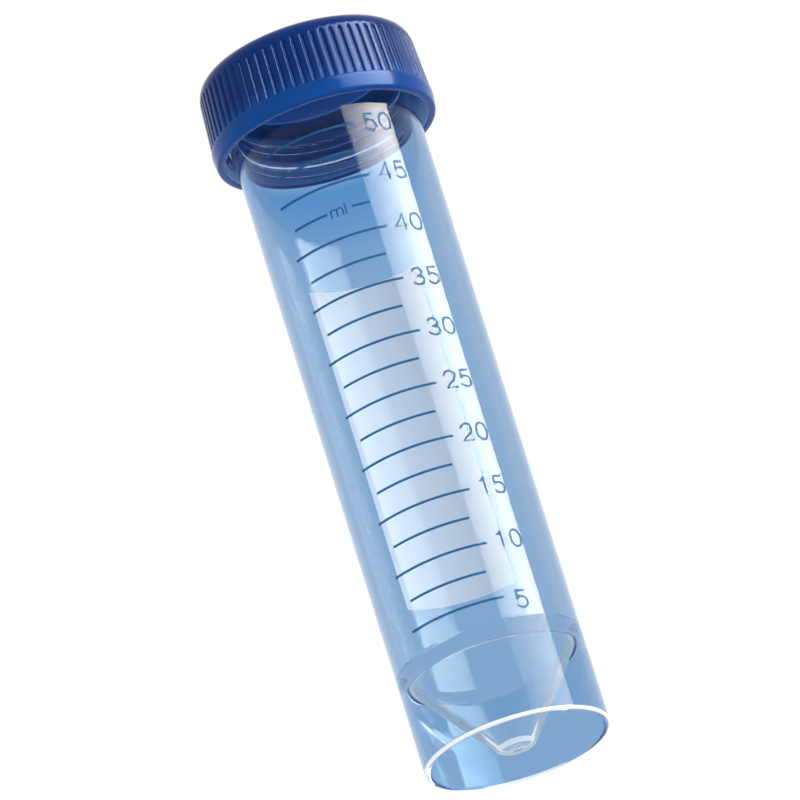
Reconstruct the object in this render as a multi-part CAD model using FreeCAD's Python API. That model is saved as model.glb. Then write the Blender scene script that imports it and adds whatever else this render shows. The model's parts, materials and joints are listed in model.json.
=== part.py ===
"""Free-standing 50 ml conical tube with a ribbed screw cap.

Frame: millimetres, +Z up along the tube's axis, origin at the centre of the
plane that the skirt's foot stands on.
"""
import FreeCAD, Part
import math
import os

Vector = FreeCAD.Vector

# Tube: one moulding with a conical bore, a skirt to stand on and a threaded neck
foot_radius = 14.5           # outside of the skirt
skirt_height = 16.0          # the outside is parallel up to here
wall_draft = 0.10            # degrees, above the skirt the wall opens towards the mouth
body_wall = 1.23
tube_length = 115.6          # foot to mouth
cone_half_angle = 37.0       # degrees, of the bore's conical end
cone_wall = 1.0              # square to the cone's surface
tip_gap = 0.3                # the tip stays this far above the foot
tip_wall = 1.0
tip_bore_radius = 2.4        # the flat at the bottom of the bore
skirt_wall = 0.9             # at the foot
skirt_draft = 0.5            # degrees, the inside of the skirt opens towards the foot
gate_radius = 0.9            # the dimple left by the moulding gate under the tip
gate_depth = 0.15
lip_round = 0.45
foot_round = 0.3
tip_round = 1.0              # outside, where the cone turns under the tip
root_round = 0.5             # outside, where the skirt leaves the cone
bore_end_round = 0.8         # where the bore turns into its cone
bore_floor_round = 0.6

# Thread on the neck: right-handed, one start, fading out at both ends
thread_pitch = 4.0
thread_height = 1.2
thread_base = 2.3            # width along the axis at the root
thread_crest = 0.9
thread_edge = 0.25           # radial height of the crest's worn edges
thread_edge_width = 0.2      # and their width along the axis
thread_root = 0.4            # the loft starts this deep in the wall
thread_above_rim = 0.6       # the lower end starts this far above the cap's rim
thread_below_mouth = 3.0     # the upper end stops this far under the tube's mouth
thread_start = 40.0          # degrees about the axis
thread_fade = 50.0           # degrees over which each end rises out of the neck
thread_least_rise = 0.02     # share of the height left at each end
thread_step = 15.0           # degrees between the loft's sections

# Cap: one moulding with grip ribs, a plain band at the rim and a plug seal
cap_depth = 12.2             # rim to ceiling
cap_top = 1.65
seat_gap = 0.3               # mouth to ceiling
rim_wall = 1.58              # the bore to the outside of the band
rim_band = 2.8               # height of the plain band
band_step = 0.12             # the band stands this far proud of the ribs
band_upright = 0.9           # below this much of its height the band closes in
band_taper = 0.1             # by this much at the rim
grip_draft = 3.2             # degrees, the ribbed wall closes towards the top
shoulder_round = 2.6
rim_round = 0.6
rim_bore_round = 0.4
thread_clearance = 0.25      # bore to thread crest
upper_wall = 1.75            # the wall above the thread, at the ceiling
rib_count = 70
groove_width = 0.42
groove_floor = 0.1
groove_depth = 0.3
groove_overcut = 0.3         # the cutter stands this far out of the ribs
groove_runout = 0.02         # depth left at the shoulder
plug_clearance = 0.3         # seal to the tube's bore
plug_wall = 0.9
plug_depth = 2.8
plug_lead = 0.3              # taper at the seal's lower edge


def point(radius, height, angle=0.0):
    """Point at a radius, a height and an angle in degrees about the axis."""
    turn = math.radians(angle)
    return Vector(radius * math.cos(turn), radius * math.sin(turn), height)


def rounded_wire(corners):
    """Closed wire through (radius, height, fillet) corners, each fillet a tangent arc."""
    points = [point(radius, height) for radius, height, _ in corners]
    starts, arcs, ends = [], [], []
    for index, (_, _, fillet) in enumerate(corners):
        here = points[index]
        back = (points[index - 1] - here).normalize()
        ahead = (points[(index + 1) % len(points)] - here).normalize()
        half = back.getAngle(ahead) / 2
        reach = fillet / math.tan(half) if fillet else 0.0
        starts.append(here + back * reach)
        ends.append(here + ahead * reach)
        if fillet:
            bisector = (back + ahead).normalize()
            centre = here + bisector * (fillet / math.sin(half))
            arcs.append(Part.Arc(starts[-1], centre - bisector * fillet, ends[-1]).toShape())
        else:
            arcs.append(None)
    edges = []
    for index, arc in enumerate(arcs):
        if arc:
            edges.append(arc)
        edges.append(Part.LineSegment(ends[index], starts[(index + 1) % len(starts)]).toShape())
    return Part.Wire(edges)


def revolved(corners):
    """Solid of revolution about the tube's axis."""
    return Part.Face(rounded_wire(corners)).revolve(Vector(0, 0, 0), Vector(0, 0, 1), 360)


def outer_radius(height):
    """Outside of the tube's wall at a height."""
    return foot_radius + max(0.0, height - skirt_height) * math.tan(math.radians(wall_draft))


def bore_radius(height):
    """Inside of the tube's wall at a height above the cone."""
    return outer_radius(height) - body_wall


def skirt_radius(height):
    """Inside of the skirt at a height."""
    return foot_radius - skirt_wall - height * math.tan(math.radians(skirt_draft))


def rim_height():
    """Height of the cap's rim when the cap is screwed home."""
    return tube_length + seat_gap - cap_depth


def meet(radius_at, cone_radius_at, low, high):
    """Height at which a widening cone reaches a wall, by bisection."""
    for _ in range(60):
        middle = (low + high) / 2
        if cone_radius_at(middle) < radius_at(middle):
            low = middle
        else:
            high = middle
    return (low + high) / 2


def tube_body():
    """The tube's wall, conical bore and skirt, without its thread."""
    slope = math.tan(math.radians(cone_half_angle))
    bore_floor = tip_gap + tip_wall
    outer_shift = cone_wall / math.cos(math.radians(cone_half_angle))

    def cone_bore(height):
        return tip_bore_radius + (height - bore_floor) * slope

    def cone_outside(height):
        return cone_bore(height) + outer_shift

    bore_end = meet(bore_radius, cone_bore, bore_floor, tube_length)
    skirt_end = meet(skirt_radius, cone_outside, tip_gap, tube_length)
    return revolved([
        (0, tip_gap + gate_depth, 0),
        (gate_radius, tip_gap + gate_depth, 0),
        (gate_radius, tip_gap, 0),
        (cone_outside(tip_gap), tip_gap, tip_round),
        (skirt_radius(skirt_end), skirt_end, root_round),
        (skirt_radius(0), 0, foot_round),
        (foot_radius, 0, foot_round),
        (foot_radius, skirt_height, 0),
        (outer_radius(tube_length), tube_length, lip_round),
        (bore_radius(tube_length), tube_length, lip_round),
        (bore_radius(bore_end), bore_end, bore_end_round),
        (tip_bore_radius, bore_floor, bore_floor_round),
        (0, bore_floor, 0),
    ])


def thread_section(angle, height, rise):
    """Outline of the thread in the radial plane at an angle; rise goes from 0 to 1."""
    root = outer_radius(height) - thread_root
    base = thread_base / 2
    crest = thread_crest / 2
    edge = crest + thread_edge_width
    top = outer_radius(height) + thread_height * rise
    shoulder = outer_radius(height) + (thread_height - thread_edge) * rise
    outline = [
        (root, -base), (shoulder, -edge), (top, -crest),
        (top, crest), (shoulder, edge), (root, base),
    ]
    points = [point(radius, height + offset, angle) for radius, offset in outline]
    return Part.makePolygon(points + points[:1])


def thread():
    """The neck's thread, a loft through sections along the helix."""
    start_height = rim_height() + thread_above_rim
    end_height = tube_length - thread_below_mouth
    sweep = 360.0 * (end_height - start_height) / thread_pitch
    count = round(sweep / thread_step)
    sections = []
    for index in range(count + 1):
        along = sweep * index / count
        nearest_end = min(along, sweep - along)
        rise = math.sin(math.radians(90) * min(1.0, nearest_end / thread_fade))
        height = start_height + thread_pitch * along / 360.0
        sections.append(thread_section(thread_start + along, height, max(rise, thread_least_rise)))
    return Part.makeLoft(sections, True, False)


def cap_bore():
    """Inside of the cap's wall over the thread, clear of the thread at the widest place."""
    return outer_radius(tube_length) + thread_height + thread_clearance


def rim_radius():
    """Outside of the cap's plain band."""
    return cap_bore() + rim_wall


def grip_radius(height):
    """Outside of the grip's ribs at a height."""
    above = height - rim_height() - rim_band
    return rim_radius() - band_step - above * math.tan(math.radians(grip_draft))


def cap_shell():
    """The cap's wall, top and plug seal, before its grip is cut."""
    rim = rim_height()
    ceiling = tube_length + seat_gap
    top = ceiling + cap_top
    bore = cap_bore()
    thread_end = tube_length - thread_below_mouth + thread_base / 2
    upper_bore = grip_radius(ceiling) - upper_wall
    plug = bore_radius(tube_length) - plug_clearance
    return revolved([
        (0, ceiling, 0),
        (plug - plug_wall, ceiling, 0),
        (plug - plug_wall, ceiling - plug_depth, 0),
        (plug - plug_lead, ceiling - plug_depth, 0),
        (plug, ceiling - plug_depth + 2 * plug_lead, 0),
        (plug, ceiling, 0),
        (upper_bore, ceiling, 0),
        (upper_bore, thread_end + bore - upper_bore, 0),
        (bore, thread_end, 0),
        (bore, rim, rim_bore_round),
        (rim_radius() - band_taper, rim, rim_round),
        (rim_radius(), rim + rim_band - band_upright, 0),
        (rim_radius(), rim + rim_band, 0),
        (grip_radius(rim + rim_band), rim + rim_band, 0),
        (grip_radius(top), top, shoulder_round),
        (0, top, 0),
    ])


def groove():
    """One groove between two ribs, following the grip's draft from the band to the shoulder."""
    low = rim_height() + rim_band
    high = tube_length + seat_gap + cap_top - shoulder_round
    runout = high - groove_depth
    sections = []
    for height, depth in ((low, groove_depth), (runout, groove_depth), (high, groove_runout)):
        outside = grip_radius(height) + groove_overcut
        flank = (groove_width - groove_floor) / 2 / groove_depth
        floor = grip_radius(height) - depth
        half_floor = groove_floor / 2
        half_mouth = half_floor + flank * (outside - floor)
        points = [
            Vector(outside, -half_mouth, height), Vector(floor, -half_floor, height),
            Vector(floor, half_floor, height), Vector(outside, half_mouth, height),
        ]
        sections.append(Part.makePolygon(points + points[:1]))
    return Part.makeLoft(sections, True, True)


def cap():
    """The whole cap, its grip cut by a ring of grooves."""
    cutter = groove()
    grooves = []
    for index in range(rib_count):
        grooves.append(cutter.rotated(Vector(0, 0, 0), Vector(0, 0, 1), 360.0 * index / rib_count))
    return cap_shell().cut(Part.makeCompound(grooves))


def tube():
    """The whole tube."""
    return tube_body().fuse(thread()).removeSplitter()


os.makedirs("parts", exist_ok=True)
for name, shape in (("tube", tube()), ("cap", cap())):
    shape.exportStep("parts/" + name + ".step")
    print(name, shape.ShapeType, len(shape.Solids), shape.isValid(), round(shape.Volume, 1))
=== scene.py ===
import bpy
import json
import math
import numpy as np
from mathutils import Matrix, Vector


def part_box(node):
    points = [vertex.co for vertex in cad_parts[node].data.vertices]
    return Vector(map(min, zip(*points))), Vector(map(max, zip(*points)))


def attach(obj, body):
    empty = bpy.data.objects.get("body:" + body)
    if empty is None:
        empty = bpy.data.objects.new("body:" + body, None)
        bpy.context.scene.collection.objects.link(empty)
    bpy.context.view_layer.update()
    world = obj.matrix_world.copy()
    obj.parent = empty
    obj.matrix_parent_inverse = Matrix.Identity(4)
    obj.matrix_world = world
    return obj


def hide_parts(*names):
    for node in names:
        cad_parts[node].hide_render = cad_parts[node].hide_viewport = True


# A 50 ml conical tube that stands on its skirt: a clear moulding with a printed scale and a
# writing patch, closed by a ribbed blue cap. Lengths in the settings are millimetres and angles
# are degrees; azimuth is counted from the front of the scale (-Y) towards +X.

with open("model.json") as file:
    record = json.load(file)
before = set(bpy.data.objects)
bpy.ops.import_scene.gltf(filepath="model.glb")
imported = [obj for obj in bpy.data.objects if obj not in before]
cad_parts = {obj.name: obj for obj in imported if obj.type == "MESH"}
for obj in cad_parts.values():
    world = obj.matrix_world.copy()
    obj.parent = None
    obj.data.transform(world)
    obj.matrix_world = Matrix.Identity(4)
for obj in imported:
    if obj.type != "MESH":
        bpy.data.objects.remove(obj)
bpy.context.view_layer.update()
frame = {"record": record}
mm = 0.001


def roundedOutline(corners, steps=5, smallSteps=3, smallFillet=0.25):
    # straight stretches between corners (radius, height, fillet, finish), each fillet an arc that
    # is tangent to both stretches; returns the points and the finish of what follows each point
    points = np.array([corner[:2] for corner in corners], float)
    outline, finishes = [], []
    for index, (_, _, fillet, finish) in enumerate(corners):
        here = points[index]
        if not fillet:
            outline.append(here)
            finishes.append(finish)
            continue
        back = points[index - 1] - here
        ahead = points[index + 1] - here
        reachable = min(np.linalg.norm(back), np.linalg.norm(ahead))
        back, ahead = back / np.linalg.norm(back), ahead / np.linalg.norm(ahead)
        half = math.acos(np.clip(back @ ahead, -1, 1)) / 2
        reach = fillet / math.tan(half)
        bisector = (back + ahead) / np.linalg.norm(back + ahead)
        centre = here + bisector * fillet / math.sin(half)
        start, end = here + back * reach - centre, here + ahead * reach - centre
        turn = math.acos(np.clip(start @ end / fillet ** 2, -1, 1))
        share = np.linspace(0, 1, (steps if fillet > smallFillet else smallSteps) + 1)[:, None]
        arc = centre + (np.sin((1 - share) * turn) * start + np.sin(share * turn) * end) / math.sin(turn)
        hold = min(0.25 * fillet, 0.4 * (reachable - reach))  # keeps the arc's shading off the stretch
        run = [here + back * (reach + hold)] if hold > 0 else []
        run += list(arc)
        run += [here + ahead * (reach + hold)] if hold > 0 else []
        outline += run
        middle = len(run) // 2
        finishes += [corners[index - 1][3]] * middle + [finish] * (len(run) - middle)
    return np.array(outline), np.array(finishes)


def turned(outline, azimuths, lift):
    # each outline point carried round the axis; lift(azimuth, height) is added to its radius
    radius, height = outline[:, :1], outline[:, 1:]
    radius = radius + lift(azimuths[None, :], height)
    turn = np.radians(azimuths)[None, :]
    return np.stack([radius * np.sin(turn), -radius * np.cos(turn), height + 0 * turn], axis=2)


def closedGrid(grid, finishes, poles):
    # faces of a grid whose columns close on themselves, with a point at each end row
    rows, columns = grid.shape[:2]
    index = np.arange(rows * columns).reshape(rows, columns)
    beside = np.roll(index, -1, axis=1)
    quads = np.stack([index[:-1], index[1:], beside[1:], beside[:-1]], axis=2).reshape(-1, 4)
    slots = np.repeat(finishes[:-1], columns)
    first, last = rows * columns, rows * columns + 1
    fans = [np.stack([np.full(columns, first), index[0], beside[0]], axis=1),
            np.stack([np.full(columns, last), beside[-1], index[-1]], axis=1)]
    points = np.vstack([grid.reshape(-1, 3), np.array(poles, float)])
    slots = np.concatenate([slots, np.full(columns, finishes[0]), np.full(columns, finishes[-1])])
    return points, quads.tolist() + fans[0].tolist() + fans[1].tolist(), slots


def signedVolume(points, faces):
    # the sum over each face's triangles of the tetrahedron that they make with the origin
    total = 0.0
    for count in (3, 4):
        chosen = np.array([face for face in faces if len(face) == count])
        if not len(chosen):
            continue
        for second in range(1, count - 1):
            a, b, c = (points[chosen[:, k]] for k in (0, second, second + 1))
            total += np.einsum("ij,ij->i", a, np.cross(b, c)).sum() / 6
    return total


def makeObject(name, points, faces, materials, slots=None, smooth=True, closed=True):
    # a mesh in metres; the faces of a closed one are turned to point outwards
    if closed and signedVolume(points, faces) < 0:
        faces = [face[::-1] for face in faces]
    mesh = bpy.data.meshes.new(name)
    mesh.from_pydata((points * mm).tolist(), [], faces)
    for material in materials:
        mesh.materials.append(material)
    if slots is not None:
        mesh.polygons.foreach_set("material_index", slots.astype(np.int32))
    mesh.polygons.foreach_set("use_smooth", np.full(len(faces), smooth))
    mesh.validate()
    mesh.update()
    made = bpy.data.objects.new(name, mesh)
    bpy.context.scene.collection.objects.link(made)
    return made


def linear(hexColour):
    # sRGB hex to linear light
    parts = np.array([int(hexColour[k:k + 2], 16) for k in (1, 3, 5)]) / 255
    light = np.where(parts <= 0.04045, parts / 12.92, ((parts + 0.055) / 1.055) ** 2.4)
    return (*light.tolist(), 1.0)


def addNode(tree, kind, values=None, links=None, **settings):
    # one node with its own settings, its socket values and the outputs that feed it
    made = tree.nodes.new(kind)
    for key, value in settings.items():
        setattr(made, key, value)
    for socket, value in (values or {}).items():
        made.inputs[socket].default_value = value
    for socket, source in (links or {}).items():
        tree.links.new(source, made.inputs[socket])
    return made


def newMaterial(name):
    # an empty material and its node tree
    made = bpy.data.materials.new(name)
    made.use_nodes = True
    made.node_tree.nodes.clear()
    return made, made.node_tree


colourA, colourB, colourOut = 6, 7, 2    # the Mix node's sockets when it mixes colours


def mirroredTimes(tree, times):
    # 1 for rays that were mirrored at least that many times, 0 for the others
    path = addNode(tree, "ShaderNodeLightPath")
    often = addNode(tree, "ShaderNodeMath", {1: times - 0.5}, {0: path.outputs["Glossy Depth"]},
                    operation="GREATER_THAN")
    return often.outputs[0]


def passingRays(tree, mirrors):
    # 1 for rays from lamps, for diffuse rays and for blurred reflections, and for rays that were
    # mirrored that many times: the clear wall lets them through unbent, so that what is inside is
    # lit without noise and none is caught in the wall
    path = addNode(tree, "ShaderNodeLightPath")
    sharp = addNode(tree, "ShaderNodeMath", {0: 1.0}, {1: path.outputs["Is Singular Ray"]},
                    operation="SUBTRACT")
    blurred = addNode(tree, "ShaderNodeMath", None,
                      {0: path.outputs["Is Glossy Ray"], 1: sharp.outputs[0]}, operation="MULTIPLY")
    lit = addNode(tree, "ShaderNodeMath", None,
                  {0: path.outputs["Is Shadow Ray"], 1: path.outputs["Is Diffuse Ray"]}, operation="ADD")
    both = addNode(tree, "ShaderNodeMath", None, {0: lit.outputs[0], 1: blurred.outputs[0]},
                   operation="ADD", use_clamp=True)
    every = addNode(tree, "ShaderNodeMath", None, {0: both.outputs[0], 1: mirroredTimes(tree, mirrors)},
                    operation="MAXIMUM")
    return every.outputs[0]


# injection-moulded polypropylene: glass-clear and glossy, with a blue cast where much of it is
# looked through. A tint is what light keeps on its way in or out. The real wall has one gloss and
# one bend all over: those below differ from face to face because they were chosen one by one.
clearWall = {
    "entering": "#cfe2f5",
    "leaving": "#4c7aae",
    "paintedNeckShadeTint": "#1b58a4",    # painted darker blue shade near the cap, for the cap's colour that runs down inside the wall
    "neckShadeRise": (82.0, 102.0),   # heights between which that comes
    "neckShadeFall": (101.0, 104.0),  # and goes again inside the cap
    "neckShadeSide": (14.0, 0.45),    # what is left of that painted shade this far towards +X, the lamp's side
    "leavingMirrored": "#8a9eae",      # what the far walls mirror comes out paler
    "shadow": "#f4f8fc",
    "caught": "#7fa8d4",         # light mirrored again and again inside the wall fades to blue
    "mirrors": 3, "coneMirrors": 1,    # after so many times it goes straight out
    "gloss": 0.125,              # share of a full polish
    "boreGloss": 0.11,
    "skirtGloss": 0.025,
    "skirtInsideGloss": 0.03, "skirtBehindGloss": 0.45,    # its front half, and its back half
    "coneGloss": 0.07,
    "bend": 1.49, "skirtBend": 1.25,   # polypropylene's, and less for the skirt and cone
    "coatBend": 1.5,
    "innerGlint": 0.1,           # the coat gives the gloss, so little comes from the wall below it
    "waveSize": 7.0,             # flow lines left by the moulding, across the axis
    "waveStretch": 9.0,          # and so many times longer along it
    "waveDepth": 0.004,
}
# painted light on the foot's face: a white colour and a little glow
footPaintedLight = {
    "colours": ("#f4f7fb", "#fbfdff"),
    "cloudSize": 3.0,
    "roughness": 0.35, "bend": 1.49,
    "glow": 0.2,
}


def paintedNeckShade(tree, place):
    # painted shade: 0 along the body, rising to 1 just below the cap and falling again inside it; less on
    # the side that the light comes from
    look = clearWall
    at = addNode(tree, "ShaderNodeSeparateXYZ", None, {0: place.outputs["Object"]})
    low, high = (value * mm for value in look["neckShadeRise"])
    rise = addNode(tree, "ShaderNodeMapRange", {"From Min": low, "From Max": high},
                   {"Value": at.outputs["Z"]}, interpolation_type="SMOOTHSTEP")
    low, high = (value * mm for value in look["neckShadeFall"])
    fall = addNode(tree, "ShaderNodeMapRange",
                   {"From Min": low, "From Max": high, "To Min": 1.0, "To Max": 0.0},
                   {"Value": at.outputs["Z"]})
    reach, left = look["neckShadeSide"]
    side = addNode(tree, "ShaderNodeMapRange",
                   {"From Min": 0.0, "From Max": reach * mm, "To Min": 1.0, "To Max": left},
                   {"Value": at.outputs["X"]})
    both = addNode(tree, "ShaderNodeMath", None, {0: rise.outputs[0], 1: fall.outputs[0]},
                   operation="MULTIPLY")
    cast = addNode(tree, "ShaderNodeMath", None, {0: both.outputs[0], 1: side.outputs[0]},
                   operation="MULTIPLY")
    return cast.outputs[0]


def leavingTint(tree, place):
    # the colour of light that leaves outwards: the body's, mixed by the painted neck shade into the
    # neck's darker blue; rays mirrored once or more after going into the bore have a paler one
    look = clearWall
    neck = addNode(tree, "ShaderNodeMix",
                   {colourA: linear(look["leaving"]), colourB: linear(look["paintedNeckShadeTint"])},
                   {0: paintedNeckShade(tree, place)}, data_type="RGBA")
    path = addNode(tree, "ShaderNodeLightPath")
    crossed = addNode(tree, "ShaderNodeMath", {1: 1.5}, {0: path.outputs["Transmission Depth"]},
                      operation="GREATER_THAN")
    once = addNode(tree, "ShaderNodeMath", None,
                   {0: crossed.outputs[0], 1: path.outputs["Glossy Depth"]}, operation="MINIMUM")
    out = addNode(tree, "ShaderNodeMix", {colourB: linear(look["leavingMirrored"])},
                  {0: once.outputs[0], colourA: neck.outputs[colourOut]}, data_type="RGBA")
    return out.outputs[colourOut]


def flowLines(tree, place):
    # a bump from noise that is stretched along the axis
    look = clearWall
    across = 1 / (look["waveSize"] * mm)
    along = across / look["waveStretch"]
    stretched = addNode(tree, "ShaderNodeMapping", {"Scale": (across, across, along)},
                        {"Vector": place.outputs["Object"]})
    waves = addNode(tree, "ShaderNodeTexNoise", {"Scale": 1.0, "Detail": 1.0, "Roughness": 0.4},
                    {"Vector": stretched.outputs[0]})
    bump = addNode(tree, "ShaderNodeBump", {"Strength": 1.0, "Distance": look["waveDepth"] * mm},
                   {"Height": waves.outputs["Fac"]})
    return bump.outputs[0]


def clearPolypropylene(surface, coat, bend, tinted="", mirrors=clearWall["mirrors"]):
    # injection-moulded in a polished mould: clear, glossy and faintly wavy. Light is tinted where
    # it goes "in", where it goes "in and out" or nowhere
    material, tree = newMaterial("injection-moulded polypropylene " + surface)
    look = clearWall
    place = addNode(tree, "ShaderNodeTexCoord")
    glint = look["innerGlint"]
    glass = addNode(tree, "ShaderNodeBsdfPrincipled",
                    {"Base Color": (1, 1, 1, 1), "Transmission Weight": 1.0, "IOR": bend,
                     "Roughness": 0.0, "Specular Tint": (glint, glint, glint, 1),
                     "Coat Weight": coat, "Coat Roughness": 0.0, "Coat IOR": look["coatBend"]},
                    {"Normal": flowLines(tree, place)})
    if tinted:
        side = addNode(tree, "ShaderNodeNewGeometry")
        tint = addNode(tree, "ShaderNodeMix", {colourA: linear(look["entering"]), colourB: (1, 1, 1, 1)},
                       {0: side.outputs["Backfacing"]}, data_type="RGBA")
        if tinted == "in and out":
            tree.links.new(leavingTint(tree, place), tint.inputs[colourB])
        tree.links.new(tint.outputs[colourOut], glass.inputs["Base Color"])
    fading = addNode(tree, "ShaderNodeMix",
                     {colourA: linear(look["shadow"]), colourB: linear(look["caught"])},
                     {0: mirroredTimes(tree, look["mirrors"])}, data_type="RGBA")
    clear = addNode(tree, "ShaderNodeBsdfTransparent", None, {"Color": fading.outputs[colourOut]})
    mix = addNode(tree, "ShaderNodeMixShader", None,
                  {0: passingRays(tree, mirrors), 1: glass.outputs[0], 2: clear.outputs[0]})
    addNode(tree, "ShaderNodeOutputMaterial", None, {"Surface": mix.outputs[0]})
    return material


def cloudedColour(tree, place, colours, cloudSize, detail=2.0):
    # two near shades mixed by noise whose clouds have that size in millimetres
    cloud = addNode(tree, "ShaderNodeTexNoise", {"Scale": 1 / (cloudSize * mm), "Detail": detail},
                    {"Vector": place.outputs["Object"]})
    one, other = (linear(colour) for colour in colours)
    mixed = addNode(tree, "ShaderNodeMix", {colourA: one, colourB: other}, {0: cloud.outputs["Fac"]},
                    data_type="RGBA")
    return mixed.outputs[colourOut]


def footPaintedGlow():
    # painted light: the foot's face is coloured white where light that runs down inside the wall comes
    # out, and a little emission stands in for that light
    material, tree = newMaterial("injection-moulded polypropylene foot face with painted glow")
    place = addNode(tree, "ShaderNodeTexCoord")
    look = footPaintedLight
    shader = addNode(tree, "ShaderNodeBsdfPrincipled",
                     {"Roughness": look["roughness"], "IOR": look["bend"],
                      "Emission Color": (1, 1, 1, 1), "Emission Strength": look["glow"]},
                     {"Base Color": cloudedColour(tree, place, look["colours"], look["cloudSize"])})
    addNode(tree, "ShaderNodeOutputMaterial", None, {"Surface": shader.outputs[0]})
    return material


# high-density polyethylene, coloured through, from a fine-eroded mould: deep blue, with a satin
# gleam that breaks up on its grain
capLooks = {
    "grip": ("#0a2b6e", "#0e357a"),
    "rim": ("#0f4896", "#1450a2"),        # painted light: the rim is lighter, as the thin rim lets more light soak through
    "inside": ("#4f80c6", "#5888ce"),     # and the inside is painted lighter, for light that comes through the wall
    "insideRimPaintedLight": ("#a4c8f0", "#acccf2"),
    "paintedRimLightFade": (0.8, 6.0),       # heights above the rim between which that painted light ends
    "cloudSize": 6.0,
    "grainSize": 0.35, "grainDepth": 0.012, "grainStrength": 0.15,
    "roughness": (0.13, 0.19),
    "bend": 1.25, "gleam": "#9abdff",  # below polyethylene's 1.54, for a weaker and bluer gleam
}


def capPlastic(surface, finish, rimPaintedLight):
    # one finish at the rim, fading into another above it: the rim's lighter blue is painted light, for
    # light that soaks through the thin wall
    material, tree = newMaterial("injection-moulded polyethylene " + surface)
    place = addNode(tree, "ShaderNodeTexCoord")
    look = capLooks
    at = addNode(tree, "ShaderNodeSeparateXYZ", None, {0: place.outputs["Object"]})
    low, high = (capLow.z + value * mm for value in look["paintedRimLightFade"])
    above = addNode(tree, "ShaderNodeMapRange", {"From Min": low, "From Max": high},
                    {"Value": at.outputs["Z"]}, interpolation_type="SMOOTHSTEP")
    colour = addNode(tree, "ShaderNodeMix", None,
                     {0: above.outputs[0],
                      colourA: cloudedColour(tree, place, look[rimPaintedLight], look["cloudSize"]),
                      colourB: cloudedColour(tree, place, look[finish], look["cloudSize"])},
                     data_type="RGBA")
    grain = addNode(tree, "ShaderNodeTexNoise", {"Scale": 1 / (look["grainSize"] * mm), "Detail": 2.0},
                    {"Vector": place.outputs["Object"]})
    low, high = look["roughness"]
    rough = addNode(tree, "ShaderNodeMapRange", {"To Min": low, "To Max": high},
                    {"Value": grain.outputs["Fac"]})
    bump = addNode(tree, "ShaderNodeBump",
                   {"Strength": look["grainStrength"], "Distance": look["grainDepth"] * mm},
                   {"Height": grain.outputs["Fac"]})
    shader = addNode(tree, "ShaderNodeBsdfPrincipled",
                     {"IOR": look["bend"], "Specular Tint": linear(look["gleam"])},
                     {"Base Color": colour.outputs[colourOut], "Roughness": rough.outputs[0],
                      "Normal": bump.outputs[0]})
    addNode(tree, "ShaderNodeOutputMaterial", None, {"Surface": shader.outputs[0]})
    return material


# screen-printed inks: nearly flat, a little uneven where the screen left them thin. The blue one is
# mostly dye, so it darkens what is behind it; the white one dries to a frosted face to write on.
# Both bend light less than real ink, so that they mirror little
inks = {
    "scale": {"name": "screen-printed blue ink", "colours": ("#3f7dac", "#4886b4"), "cloudSize": 1.2,
              "bend": 1.04, "roughness": 0.0, "gloss": 0.06, "sheer": 0.6},
    "patch": {"name": "screen-printed frosted white ink", "colours": ("#f0f3f8", "#e8edf5"),
              "cloudSize": 2.5, "bend": 1.3, "roughness": 0.7, "gloss": 0.0, "sheer": 0.0},
}


def printedInk(look):
    # mottled colour, partly let through
    material, tree = newMaterial(look["name"])
    place = addNode(tree, "ShaderNodeTexCoord")
    colour = cloudedColour(tree, place, look["colours"], look["cloudSize"], detail=3.0)
    shader = addNode(tree, "ShaderNodeBsdfPrincipled",
                     {"Roughness": look["roughness"], "IOR": look["bend"], "Coat Weight": look["gloss"],
                      "Transmission Weight": look["sheer"], "Coat Roughness": 0.1},
                     {"Base Color": colour})
    addNode(tree, "ShaderNodeOutputMaterial", None, {"Surface": shader.outputs[0]})
    return material


mounts = {mount["name"]: mount for mount in frame["record"]["mounts"]}
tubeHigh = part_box("tube")[1]
capLow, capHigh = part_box("cap")

tubeSizes = {
    "pole": 0.15,                # the innermost ring round the axis
    "footRadius": mounts["rack_fit"]["dims"]["r_mm"],
    "length": tubeHigh.z / mm,
    "skirtHeight": 16.0,
    "draft": 0.10,
    "wall": 1.23,
    "coneHalfAngle": 37.0,
    "coneWall": 1.0,
    "tipGap": 0.3,
    "tipWall": 1.0,
    "tipBore": 2.4,
    "skirtWall": 0.9,
    "skirtDraft": 0.5,
    "gateRadius": 0.9,
    "gateDepth": 0.15,
    "gateEdge": 0.1,
    "tipRound": 1.0, "rootRound": 0.5, "footRound": 0.3,
    "lipRound": 0.45, "boreEndRound": 0.5, "floorRound": 0.6,
    "footFlat": 0.05,            # the painted white foot starts this far inside its outer rounding
    "paintedGlowReach": 0.5,             # and reaches this far up the outside
    "columns": 288,
}
# the tube's finishes, in the order of its materials
skirtInside, paintedWhiteFoot, skirtOutside, outerSkin, boreWall, coneSkin, skirtBehind = range(7)

threadSizes = {
    "pitch": 4.0, "height": 1.2, "base": 2.1, "crest": 1.05,
    "corner": 0.15,              # its edges are rounded over this share of a flank, each way
    "aboveRim": 0.6, "belowMouth": 3.0, "start": 130.0, "fade": 50.0,
    "rowStep": 0.13, "rowsBeyond": 0.1,      # the neck's rows, and how far they go past the thread
}


def outerRadius(height):
    # parallel along the skirt, then opening towards the mouth by the draft
    size = tubeSizes
    above = np.maximum(0.0, height - size["skirtHeight"])
    return size["footRadius"] + above * math.tan(math.radians(size["draft"]))


def threadStart():
    # the height of the thread's lower end, a set distance above the cap's rim
    return capLow.z / mm + threadSizes["aboveRim"]


def threadEnd():
    # the height of its upper end, a set distance below the mouth
    return tubeSizes["length"] - threadSizes["belowMouth"]


def softClip(value, reach):
    # a value kept between 0 and 1 whose two corners are parabolas reaching that far each way: the
    # clipped ramp averaged over that reach
    def under(x):
        # the area under a ramp from 0 to 1 up to x
        return np.where(x < 0, 0.0, np.where(x > 1, x - 0.5, x * x / 2))
    return (under(value + reach) - under(value - reach)) / (2 * reach)


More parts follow.
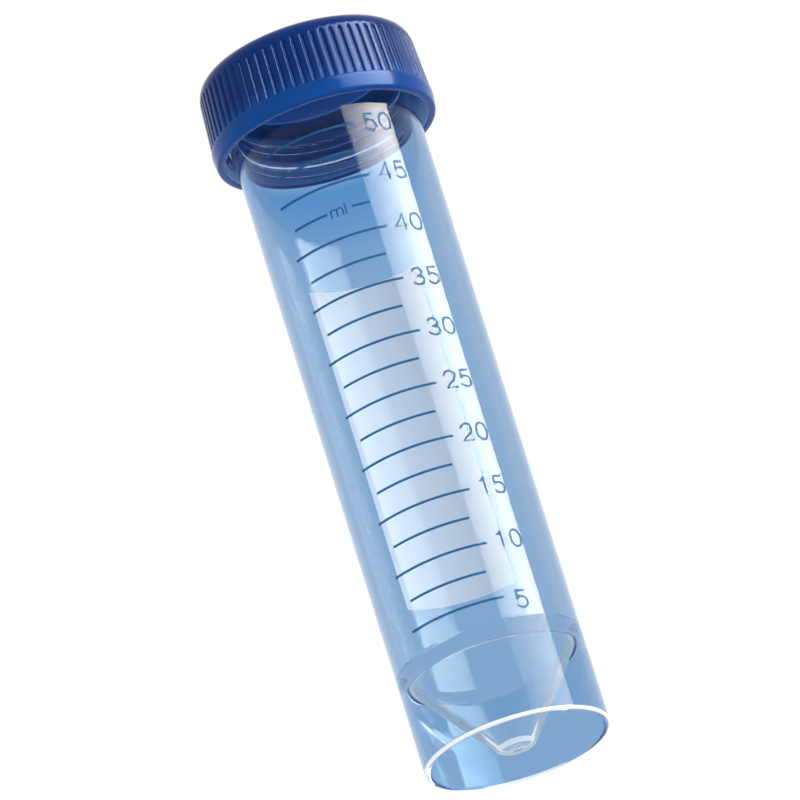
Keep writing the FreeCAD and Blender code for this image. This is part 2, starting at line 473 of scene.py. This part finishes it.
def ridge(azimuth, height, shift, base, crest):
    # a trapezoid across a right-handed helix that rises out of the wall over its first and last
    # degrees: 1 on the crest, 0 beside it
    size = threadSizes
    turns = (threadEnd() - threadStart()) / size["pitch"]
    lifted = np.zeros(np.broadcast(azimuth, height).shape)
    first = np.mod(azimuth - size["start"], 360.0)
    for turnIndex in range(int(turns) + 1):
        along = first + 360.0 * turnIndex
        offset = np.abs(height - (threadStart() + shift + size["pitch"] * along / 360.0))
        flank = softClip((base - 2 * offset) / (base - crest), size["corner"])
        nearest = np.minimum(along, 360.0 * turns - along)
        rise = np.sin(np.pi / 2 * np.clip(nearest / size["fade"], 0, 1))
        lifted = np.maximum(lifted, flank * rise)
    return lifted


def boreProfile():
    # (radius, height) corners of the bore: flat floor, cone, then the drafted wall
    size = tubeSizes
    slope, draft = math.tan(math.radians(size["coneHalfAngle"])), math.tan(math.radians(size["draft"]))
    floor = size["tipGap"] + size["tipWall"]
    boreFoot = size["footRadius"] - size["wall"]
    end = (boreFoot - size["tipBore"] + floor * slope - size["skirtHeight"] * draft) / (slope - draft)
    return [(size["tipBore"], floor), (outerRadius(end) - size["wall"], end),
            (outerRadius(size["length"]) - size["wall"], size["length"])]


def tubeOutline():
    # from the gate's dimple under the tip, out over the cone and down the skirt's inside, round
    # the foot, up the outside, over the mouth and down the bore to its floor
    size = tubeSizes
    slope = math.tan(math.radians(size["coneHalfAngle"]))
    skirtSlope = math.tan(math.radians(size["skirtDraft"]))
    shift = size["coneWall"] / math.cos(math.radians(size["coneHalfAngle"]))
    (tipRadius, floor), (boreRadius, boreEnd), (mouthRadius, mouth) = boreProfile()
    skirtIn = size["footRadius"] - size["skirtWall"]
    skirtEnd = (skirtIn - tipRadius - shift + floor * slope) / (slope + skirtSlope)
    tipOut = tipRadius + shift + (size["tipGap"] - floor) * slope
    reach = threadSizes["base"] / 2 + threadSizes["rowsBeyond"]
    neck = np.arange(threadStart() - reach, threadEnd() + reach, threadSizes["rowStep"])
    gate, edge = size["gateRadius"], size["gateEdge"]
    dimple = size["tipGap"] + size["gateDepth"]
    corners = [
        (size["pole"], dimple, 0, coneSkin),
        (gate - edge, dimple, 0, coneSkin),
        (gate, dimple - 0.5 * edge, 0, coneSkin),
        (gate + 0.2 * edge, size["tipGap"] + 0.4 * edge, 0, coneSkin),
        (gate + edge, size["tipGap"], 0, coneSkin),
        (tipOut, size["tipGap"], size["tipRound"], coneSkin),
        (skirtIn - skirtEnd * skirtSlope, skirtEnd, size["rootRound"], skirtInside),
        (skirtIn, 0, size["footRound"], skirtInside),
        (size["footRadius"] - size["footRound"] - size["footFlat"], 0, 0, paintedWhiteFoot),
        (size["footRadius"], 0, size["footRound"], paintedWhiteFoot),
        (size["footRadius"], size["paintedGlowReach"], 0, skirtOutside),
        (size["footRadius"], boreEnd, 0, outerSkin),
        *[(outerRadius(height), height, 0, outerSkin) for height in neck],
        (outerRadius(mouth), mouth, size["lipRound"], boreWall),
        (mouthRadius, mouth, size["lipRound"], boreWall),
        (boreRadius, boreEnd, size["boreEndRound"], coneSkin),
        (tipRadius, floor, size["floorRound"], coneSkin),
        (size["pole"], floor, 0, coneSkin),
    ]
    return roundedOutline(corners)


def makeTube():
    # the outline turned round the axis, with the thread standing out of the neck
    size, look = tubeSizes, clearWall
    outline, finishes = tubeOutline()
    azimuths = np.arange(size["columns"]) * 360.0 / size["columns"]
    onNeck = (outline[:, 0] > size["footRadius"] - size["wall"] / 2)[:, None]

    def lift(azimuth, height):
        # the thread stands out of the neck's outside only
        turns = ridge(azimuth, height, 0.0, threadSizes["base"], threadSizes["crest"])
        return np.where(onNeck, threadSizes["height"] * turns, 0.0)

    grid = turned(outline, azimuths, lift)
    poles = [(0, 0, outline[0, 1]), (0, 0, outline[-1, 1])]
    points, faces, slots = closedGrid(grid, finishes, poles)
    quads = (len(outline) - 1) * len(azimuths)
    behind = np.cos(np.radians(np.tile(azimuths, len(outline) - 1))) < 0
    slots[:quads][(slots[:quads] == skirtInside) & behind] = skirtBehind
    bend, thinBend = look["bend"], look["skirtBend"]
    materials = {
        skirtInside: clearPolypropylene("skirt inside", look["skirtInsideGloss"], thinBend, "in"),
        paintedWhiteFoot: footPaintedGlow(),
        skirtOutside: clearPolypropylene("skirt outside", look["skirtGloss"], thinBend, "in and out"),
        outerSkin: clearPolypropylene("outer skin", look["gloss"], bend, "in and out"),
        boreWall: clearPolypropylene("bore", look["boreGloss"], bend),
        coneSkin: clearPolypropylene("cone", look["coneGloss"], thinBend, mirrors=look["coneMirrors"]),
        skirtBehind: clearPolypropylene("skirt behind", look["skirtBehindGloss"], thinBend, "in"),
    }
    tube = makeObject("tube_body", points, faces, materials.values(), slots)
    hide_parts("tube")
    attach(tube, "tube")
    print("tube", len(faces), "faces")


# the cap's finishes, in the order of its materials
capOutside, capInside = range(2)

capSizes = {
    "pole": 0.2,                 # the innermost ring round the axis
    "topRings": (6.0, 12.0), "ceilingRing": 6.0,
    "topWall": 1.65, "shoulder": 2.6,
    "band": 2.8, "bandStep": 0.12, "bandUpright": 0.9, "bandTaper": 0.3, "rimRound": 0.5,
    "bandCorner": ((0.06, 0.0), (0.015, 0.03), (0.0, 0.1)),   # in from the band, below its top
    "gripDraft": 3.2, "ribs": 70, "grooveMouth": 0.8, "grooveFloor": 0.08, "grooveDepth": 0.3,
    "ribTopRows": (0.25, 0.4, 0.55), "ribRows": 5, "ribLowRows": (0.45, 0.25, 0.1, 0.02),
    "grooveTopEnd": (0.1, 0.6),  # the grooves start here above the shoulder's foot and deepen so far
    "grooveLowEnd": (0.02, 0.2),       # and end in the same way over the band
    "across": (0.0, 0.06, 0.13, 0.2, 0.27, 0.34, 0.41),   # columns from a groove's middle
    "boreClearance": 0.25, "upperWall": 1.75, "boreRound": 0.4,
    "boreStep": 0.5, "boreMargins": (0.2, 0.1),      # the bore's rows, kept clear of its ends
    "ceilingRound": 0.2,
    "plugClearance": 0.3, "plugWall": 0.9, "plugDepth": 2.8, "plugLead": 0.3, "plugRound": 0.15,
    "threadHeight": 1.05, "threadBase": 1.7, "threadCrest": 0.7,
}


def capOutline():
    # from the top's middle over the shoulder and down the ribs and band, round the rim, up the
    # bore past its thread, and round the plug seal to the ceiling's middle
    size = capSizes
    top, rim = capHigh.z / mm, capLow.z / mm
    rimRadius = capHigh.x / mm
    ceiling = top - size["topWall"]
    bandTop, shoulderFoot = rim + size["band"], top - size["shoulder"]
    slope = math.tan(math.radians(size["gripDraft"]))

    def grip(height):
        # the ribs' outer radius, which shrinks upwards from the band
        return rimRadius - size["bandStep"] - (height - bandTop) * slope

    bore = outerRadius(tubeSizes["length"]) + threadSizes["height"] + size["boreClearance"]
    upperBore = grip(ceiling) - size["upperWall"]
    plug = boreProfile()[2][0] - size["plugClearance"]
    plugFoot = ceiling - size["plugDepth"]
    threadTop = threadEnd() + threadSizes["base"] / 2
    upper = shoulderFoot - np.array(size["ribTopRows"])
    lower = bandTop + np.array(size["ribLowRows"])
    ribRows = [*upper[:-1], *np.linspace(upper[-1], lower[0], size["ribRows"]), *lower[1:]]
    first, last = size["boreMargins"]
    boreRows = np.arange(rim + size["boreRound"] + first, threadTop - last, size["boreStep"])
    corners = [
        (size["pole"], top, 0, capOutside),
        *[(ring, top, 0, capOutside) for ring in size["topRings"]],
        (grip(top), top, size["shoulder"], capOutside),
        *[(grip(height), height, 0, capOutside) for height in ribRows],
        *[(rimRadius - back, bandTop - below, 0, capOutside) for back, below in size["bandCorner"]],
        (rimRadius, bandTop - size["bandUpright"], 0, capOutside),
        (rimRadius - size["bandTaper"], rim, size["rimRound"], capOutside),
        (bore, rim, size["boreRound"], capInside),
        *[(bore, height, 0, capInside) for height in boreRows],
        (bore, threadTop, 0, capInside),
        (upperBore, threadTop + bore - upperBore, 0, capInside),
        (upperBore, ceiling, size["ceilingRound"], capInside),
        (plug, ceiling, size["ceilingRound"], capInside),
        (plug, plugFoot + 2 * size["plugLead"], 2 * size["plugRound"], capInside),
        (plug - size["plugLead"], plugFoot, size["plugRound"], capInside),
        (plug - size["plugWall"], plugFoot, size["plugRound"], capInside),
        (plug - size["plugWall"], ceiling, size["ceilingRound"], capInside),
        (size["ceilingRing"], ceiling, 0, capInside),
        (size["pole"], ceiling, 0, capInside),
    ]
    outline, finishes = roundedOutline(corners)
    return outline, finishes, bandTop, shoulderFoot, bore


def eased(share):
    # 3 x squared less 2 x cubed: from 0 to 1 with level ends
    return share * share * (3 - 2 * share)


def makeCap():
    # the outline turned round the axis, less a groove between each two ribs and with the thread
    # standing into the bore
    size = capSizes
    outline, finishes, bandTop, shoulderFoot, bore = capOutline()
    rimRadius = capHigh.x / mm
    pitch = 2 * math.pi * rimRadius / size["ribs"]
    half = np.array(size["across"])
    across = np.concatenate([-half[:0:-1], half, [pitch / 2]])  # millimetres along the rim
    ribAngle = 360.0 / size["ribs"]
    azimuths = (np.arange(size["ribs"])[:, None] * ribAngle + across[None, :] / pitch * ribAngle).ravel()
    flank = (size["grooveMouth"] - size["grooveFloor"]) / 2
    grooveAt = eased(np.clip((size["grooveMouth"] / 2 - np.abs(across)) / flank, 0, 1))
    grooveAt = np.tile(grooveAt, size["ribs"])[None, :]
    outside = np.arange(len(outline)) < np.argmax(outline[:, 1] < capLow.z / mm + 1e-6)

    def lift(azimuth, height):
        # grooves go into the outside, fading at both ends, and the thread stands into the bore
        start, run = size["grooveTopEnd"]
        fadeTop = eased(np.clip((shoulderFoot + start - height) / run, 0, 1))
        start, run = size["grooveLowEnd"]
        fadeLow = np.clip((height - bandTop - start) / run, 0, 1) ** 0.5
        grooves = -size["grooveDepth"] * grooveAt * fadeTop * fadeLow
        turns = ridge(azimuth, height, threadSizes["pitch"] / 2, size["threadBase"], size["threadCrest"])
        inBore = (~outside & (np.abs(outline[:, 0] - bore) < 0.02))[:, None]
        grooves = np.where(outside[:, None], grooves, 0.0)
        return grooves - np.where(inBore, size["threadHeight"] * turns, 0.0)

    grid = turned(outline, azimuths, lift)
    poles = [(0, 0, outline[0, 1]), (0, 0, outline[-1, 1])]
    points, faces, slots = closedGrid(grid, finishes, poles)
    materials = {capOutside: capPlastic("satin blue", "grip", "rim"),
                 capInside: capPlastic("satin blue inside", "inside", "insideRimPaintedLight")}
    cap = makeObject("cap_shell", points, faces, materials.values(), slots)
    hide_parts("cap")
    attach(cap, "cap")
    print("cap", len(faces), "faces")


printSizes = {
    "proud": 0.02, "sunk": 0.015,
    "line": 0.4, "lift": 0.13,   # the whole print sits this much above the true volumes
    "longArc": (-30.6, 31.2), "shortArc": (-24.9, 25.5), "arcStep": 1.5,
    "figureHeight": 3.15, "figureWidth": 2.22, "figurePitch": 2.64, "figureStroke": 0.34,
    "figureStart": 36.2, "figureRise": 0.28,
    "figureMoved": {5.0: (1.4, -0.7), 35.0: (0.0, -0.08), 50.0: (0.0, -0.2)},   # on by, and rise
    "unitAt": 42.5, "unitGap": (-1.2, 14.3), "unitStart": 0.6, "unitHeight": 2.1, "unitStroke": 0.24,
    "unitBreadth": 0.73, "unitStep": 1.12,   # of the m, both times its height
    "volumes": np.arange(5.0, 50.1, 2.5),
    "patchArc": (160.0, 238.0), "patchStep": 1.25, "patchHeights": (30.0, 84.4),
    "patchDepth": 0.02, "patchThick": 0.03,
}


def bow(across, up, wide, tall, first, last, steps=14):
    # an elliptical arc about (across, up) from one angle to another, counted from the right
    angle = np.radians(np.linspace(first, last, steps))
    return np.stack([across + wide * np.cos(angle), up + tall * np.sin(angle)], axis=1)


# each figure's strokes, in a box 1 wide and 1 tall
strokesOf = {
    "0": [bow(0.5, 0.5, 0.5, 0.5, 90, 450, 33)],
    "1": [[(0.22, 0.76), (0.42, 0.80), (0.56, 0.90), (0.6, 1.0)], [(0.6, 1.0), (0.6, 0.0)]],
    "2": [np.vstack([bow(0.5, 0.71, 0.46, 0.29, 175, -20), [(0.80, 0.42), (0.3, 0.19), (0.06, 0.0)]]),
          [(0.02, 0.0), (1.0, 0.0)]],
    "3": [np.vstack([bow(0.49, 0.755, 0.42, 0.245, 165, -90), [(0.40, 0.51)]]),
          np.vstack([[(0.40, 0.53)], bow(0.49, 0.265, 0.49, 0.265, 90, -168)])],
    "4": [[(0.76, 0.0), (0.76, 1.0), (0.0, 0.27), (1.0, 0.27)]],
    "5": [[(0.92, 1.0), (0.2, 1.0), (0.1, 0.47)], bow(0.49, 0.325, 0.5, 0.325, 146, -160)],
    "m": [[(0.0, 0.0), (0.0, 1.0)],
          np.vstack([bow(0.25, 0.66, 0.25, 0.34, 180, 0), [(0.5, 0.0)]]),
          np.vstack([bow(0.75, 0.66, 0.25, 0.34, 180, 0), [(1.0, 0.0)]])],
    "l": [[(0.5, 0.0), (0.5, 1.0)]],
}


def heightOfVolume(millilitres):
    # the height at which the bore, its floor and cone included, holds that volume
    heights = np.linspace(boreProfile()[0][1], tubeSizes["length"], 4000)
    radii = np.interp(heights, [corner[1] for corner in boreProfile()],
                      [corner[0] for corner in boreProfile()])
    area = math.pi * radii ** 2
    filled = np.concatenate([[0], np.cumsum((area[1:] + area[:-1]) / 2 * np.diff(heights))]) / 1000
    return float(np.interp(millilitres, filled, heights))


def onWall(azimuth, height, depth):
    # a point at an azimuth and height, depth millimetres outside the tube's outer surface
    radius = outerRadius(height) + depth
    turn = np.radians(azimuth)
    return np.stack([radius * np.sin(turn), -radius * np.cos(turn), height + 0 * turn], axis=-1)


def ribbon(path, width, inner, outer):
    # a thin plate bent round the tube: a path of (millimetres round the wall, height) widened
    # half the width to each side along its mitred normals, its section's four corners carried
    # along it and closed at both ends
    path = np.array(path, float)
    ahead = np.diff(path, axis=0)
    ahead /= np.linalg.norm(ahead, axis=1)[:, None]
    before, after = np.vstack([ahead[:1], ahead]), np.vstack([ahead, ahead[-1:]])
    if np.allclose(path[0], path[-1]):
        before[0], after[-1] = ahead[-1], ahead[0]
    along = before + after
    along /= np.linalg.norm(along, axis=1)[:, None]
    mitre = 1 / np.maximum(0.6, np.einsum("ij,ij->i", along, before))[:, None]
    side = np.stack([-along[:, 1], along[:, 0]], axis=1) * mitre * width / 2
    section = [(path + side, outer), (path + side, inner), (path - side, inner), (path - side, outer)]
    rows = [onWall(np.degrees(place[:, 0] / tubeSizes["footRadius"]), place[:, 1], depth)
            for place, depth in section]
    grid = np.stack(rows, axis=1)
    index = np.arange(len(path) * 4).reshape(-1, 4)
    beside = np.roll(index, -1, axis=1)
    quads = np.stack([index[:-1], index[1:], beside[1:], beside[:-1]], axis=2).reshape(-1, 4).tolist()
    return grid.reshape(-1, 3), quads + [index[0].tolist(), index[-1][::-1].tolist()]


def arcPath(arc, height, step):
    # a level path from one azimuth to another
    azimuths = np.linspace(arc[0], arc[1], max(2, int(abs(arc[1] - arc[0]) / step) + 1))
    around = np.radians(azimuths) * tubeSizes["footRadius"]
    return np.stack([around, np.full(len(around), height)], axis=1)


def written(letter, left, foot, wide, tall, stroke):
    # a figure's strokes in a box whose left edge is at an azimuth, kept inside it by half a stroke
    size = printSizes
    start = math.radians(left) * tubeSizes["footRadius"] + stroke / 2
    made = []
    for path in strokesOf[letter]:
        path = np.array(path, float) * (wide - stroke, tall - stroke) + (start, foot + stroke / 2)
        made.append(ribbon(path, stroke, -size["sunk"], size["proud"]))
    return made


def joined(parts):
    # several (points, faces) pairs as one
    points, faces, start = [], [], 0
    for some, corners in parts:
        points.append(some)
        faces += [[corner + start for corner in face] for face in corners]
        start += len(some)
    return np.vstack(points), faces


def makePrint():
    # a line at each volume, longer and with a figure at every second one, and the writing patch
    size = printSizes
    lines, figures = [], []
    perDegree = math.radians(1.0) * tubeSizes["footRadius"]
    for volume in size["volumes"]:
        height = heightOfVolume(volume) + size["lift"]
        numbered = volume % 5 == 0
        arc = size["longArc"] if numbered else size["shortArc"]
        stretches = [arc]
        if volume == size["unitAt"]:
            stretches = [(arc[0], size["unitGap"][0]), (size["unitGap"][1], arc[1])]
            tall, stroke = size["unitHeight"], size["unitStroke"]
            foot, broad = height - tall / 2, tall * size["unitBreadth"]
            figures += written("m", size["unitStart"], foot, tall, broad, stroke)
            afterM = size["unitStart"] + size["unitStep"] * tall / perDegree
            figures += written("l", afterM, foot, stroke, tall, stroke)
        for stretch in stretches:
            lines.append(ribbon(arcPath(stretch, height, size["arcStep"]), size["line"],
                                -size["sunk"], size["proud"]))
        if numbered:
            onward, rise = size["figureMoved"].get(volume, (0.0, size["figureRise"]))
            foot = height + rise - size["figureHeight"] / 2
            for place, letter in enumerate(f"{volume:.0f}"):
                left = size["figureStart"] + onward + place * size["figurePitch"] / perDegree
                figures += written(letter, left, foot, size["figureWidth"], size["figureHeight"],
                                   size["figureStroke"])
    blue, white = printedInk(inks["scale"]), printedInk(inks["patch"])
    for name, parts in (("scale_lines", lines), ("scale_figures", figures)):
        points, faces = joined(parts)
        made = makeObject(name, points, faces, [blue], smooth=False)
        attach(made, "tube")
    low, high = size["patchHeights"]
    points, faces = ribbon(arcPath(size["patchArc"], (low + high) / 2, size["patchStep"]), high - low,
                           -size["patchDepth"] - size["patchThick"], -size["patchDepth"])
    patch = makeObject("writing_patch", points, faces, [white], smooth=False)
    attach(patch, "tube")
    print("print", len(lines), "lines", len(figures), "strokes")


studio = {
    "cameraAzimuth": 12.0, "cameraElevation": -21.13, "cameraDistance": 1.6, "cameraLean": 17.40,
    "lens": 473.5, "sensor": 36.0, "shift": (-0.01056, 0.0), "aim": 0.059,
    "worldLevel": 0.68,
    "floorSize": 3.0, "floorDrop": 0.1, "floorColour": (0.8, 0.8, 0.8, 1), "floorGlow": 0.25,
}
# one long softbox to the right: what the polished walls mirror, and how far it lights matt colours
softbox = {
    "azimuth": 69.6, "elevation": 26.0, "distance": 0.8, "size": (0.832, 0.50),
    "near": 0.07, "falloff": 0.5,      # its radiance starts low at the end nearest the camera,
    "full": 0.7, "far": 0.62,          # is full at this share of its length and ends at that
}
mirrored = {"radiance": 36.0, "colour": "#fff2dc"}
lighting = {"radiance": 4.6, "colour": "#fffaf2"}


def direction(azimuth, elevation):
    # the unit vector that points there from the axis
    turn, rise = math.radians(azimuth), math.radians(elevation)
    return Vector((math.sin(turn) * math.cos(rise), -math.cos(turn) * math.cos(rise), math.sin(rise)))


def makeCamera():
    # looks at the tube's middle from below, rolled so that the tube leans to the left
    aim = Vector((0, 0, studio["aim"]))
    back = direction(studio["cameraAzimuth"], studio["cameraElevation"])
    level = Vector((0, 0, 1)).cross(back).normalized()
    upright = back.cross(level)
    lean = math.radians(studio["cameraLean"])
    right = math.cos(lean) * level - math.sin(lean) * upright
    up = math.cos(lean) * upright + math.sin(lean) * level
    data = bpy.data.cameras.new("camera")
    data.sensor_width, data.lens = studio["sensor"], studio["lens"]
    data.shift_x, data.shift_y = studio["shift"]
    data.clip_end = 20
    camera = bpy.data.objects.new("camera", data)
    turn = Matrix((right, up, back)).transposed().to_4x4()
    camera.matrix_world = Matrix.Translation(aim + back * studio["cameraDistance"]) @ turn
    bpy.context.scene.collection.objects.link(camera)
    bpy.context.scene.camera = camera


def notStraightThrough(tree):
    # 0 for rays that came through the clear walls without being mirrored, so that the lamp isn't
    # seen as a bright window through the tube; 1 for all others
    path = addNode(tree, "ShaderNodeLightPath")
    straight = addNode(tree, "ShaderNodeMath", {0: 1.0}, {1: path.outputs["Glossy Depth"]},
                       operation="SUBTRACT", use_clamp=True)
    through = addNode(tree, "ShaderNodeMath", None,
                      {0: path.outputs["Is Transmission Ray"], 1: straight.outputs[0]},
                      operation="MULTIPLY")
    other = addNode(tree, "ShaderNodeMath", {0: 1.0}, {1: through.outputs[0]}, operation="SUBTRACT")
    return other.outputs[0]


def makeLamp(name, settings, light, seenBy):
    # a flat softbox that faces the tube; its radiance rises as a power of the distance from the
    # end nearest the camera, and past its brightest place falls evenly to its far end
    width, height = settings["size"]
    data = bpy.data.lights.new(name, "AREA")
    data.shape = "RECTANGLE"
    data.size, data.size_y = width, height
    data.energy = width * height * math.pi
    data.color = linear(light["colour"])[:3]
    data.use_nodes = True
    tree = data.node_tree
    tree.nodes.clear()
    place = addNode(tree, "ShaderNodeNewGeometry")
    along = addNode(tree, "ShaderNodeSeparateXYZ", None, {0: place.outputs["Parametric"]})
    share = addNode(tree, "ShaderNodeMapRange",
                    {"From Max": settings["full"], "To Min": settings["near"], "To Max": 1.0},
                    {"Value": along.outputs[0]})
    curve = addNode(tree, "ShaderNodeMath", {1: settings["falloff"]}, {0: share.outputs[0]},
                    operation="POWER")
    dim = addNode(tree, "ShaderNodeMapRange",
                  {"From Min": settings["full"], "To Min": light["radiance"],
                   "To Max": light["radiance"] * settings["far"]}, {"Value": along.outputs[0]})
    level = addNode(tree, "ShaderNodeMath", None, {0: curve.outputs[0], 1: dim.outputs[0]},
                    operation="MULTIPLY")
    shown = addNode(tree, "ShaderNodeMath", None, {0: level.outputs[0], 1: notStraightThrough(tree)},
                    operation="MULTIPLY")
    glow = addNode(tree, "ShaderNodeEmission", None, {"Strength": shown.outputs[0]})
    addNode(tree, "ShaderNodeOutputLight", None, {"Surface": glow.outputs[0]})
    lamp = bpy.data.objects.new(name, data)
    toward = direction(settings["azimuth"], settings["elevation"])
    lamp.location = Vector((0, 0, studio["aim"])) + toward * settings["distance"]
    lamp.rotation_mode = "QUATERNION"
    lamp.rotation_quaternion = toward.to_track_quat("Z", "Y")
    lamp.visible_camera = False
    lamp.visible_transmission = seenBy == "glossy"
    lamp.visible_diffuse = seenBy == "diffuse"
    lamp.visible_glossy = seenBy == "glossy"
    bpy.context.scene.collection.objects.link(lamp)


def seenDirectly(tree):
    # 1 for rays from the camera, from mirrors and through glass
    path = addNode(tree, "ShaderNodeLightPath")
    two = addNode(tree, "ShaderNodeMath", None,
                  {0: path.outputs["Is Camera Ray"], 1: path.outputs["Is Glossy Ray"]},
                  operation="MAXIMUM")
    three = addNode(tree, "ShaderNodeMath", None,
                    {0: two.outputs[0], 1: path.outputs["Is Transmission Ray"]}, operation="MAXIMUM")
    return three.outputs[0]


def makeWorld():
    # white where it is seen, and a plain level on the object
    world = bpy.data.worlds.new("studio")
    world.use_nodes = True
    tree = world.node_tree
    tree.nodes.clear()
    level = addNode(tree, "ShaderNodeMapRange", {"To Min": studio["worldLevel"], "To Max": 1.0},
                    {"Value": seenDirectly(tree)})
    light = addNode(tree, "ShaderNodeBackground", {"Color": (1, 1, 1, 1)}, {"Strength": level.outputs[0]})
    addNode(tree, "ShaderNodeOutputWorld", None, {"Surface": light.outputs[0]})
    bpy.context.scene.world = world


def makeFloor():
    # a pale floor that shows from above only, and lets light pass up to the foot
    material, tree = newMaterial("pale floor")
    side = addNode(tree, "ShaderNodeNewGeometry")
    shown = addNode(tree, "ShaderNodeMath", None, {0: seenDirectly(tree), 1: side.outputs["Backfacing"]},
                    operation="SUBTRACT", use_clamp=True)
    matt = addNode(tree, "ShaderNodeBsdfDiffuse", {"Color": studio["floorColour"]})
    white = addNode(tree, "ShaderNodeEmission", {"Strength": studio["floorGlow"]})
    both = addNode(tree, "ShaderNodeAddShader", None, {0: matt.outputs[0], 1: white.outputs[0]})
    gone = addNode(tree, "ShaderNodeBsdfTransparent")
    mix = addNode(tree, "ShaderNodeMixShader", None,
                  {0: shown.outputs[0], 1: gone.outputs[0], 2: both.outputs[0]})
    addNode(tree, "ShaderNodeOutputMaterial", None, {"Surface": mix.outputs[0]})
    half, level = studio["floorSize"] / 2 / mm, -studio["floorDrop"]
    corners = ((-half, -half), (half, -half), (half, half), (-half, half))
    points = np.array([(x, y, level) for x, y in corners])
    floor = makeObject("floor", points, [[0, 1, 2, 3]], [material], smooth=False, closed=False)


bpy.context.scene.view_settings.view_transform = "Standard"
makeCamera()
makeWorld()
makeFloor()
makeLamp("softboxMirrored", softbox, mirrored, "glossy")
makeLamp("softboxLight", softbox, lighting, "diffuse")
print("camera, world, floor and softbox made")
makeTube()
makeCap()
makePrint()
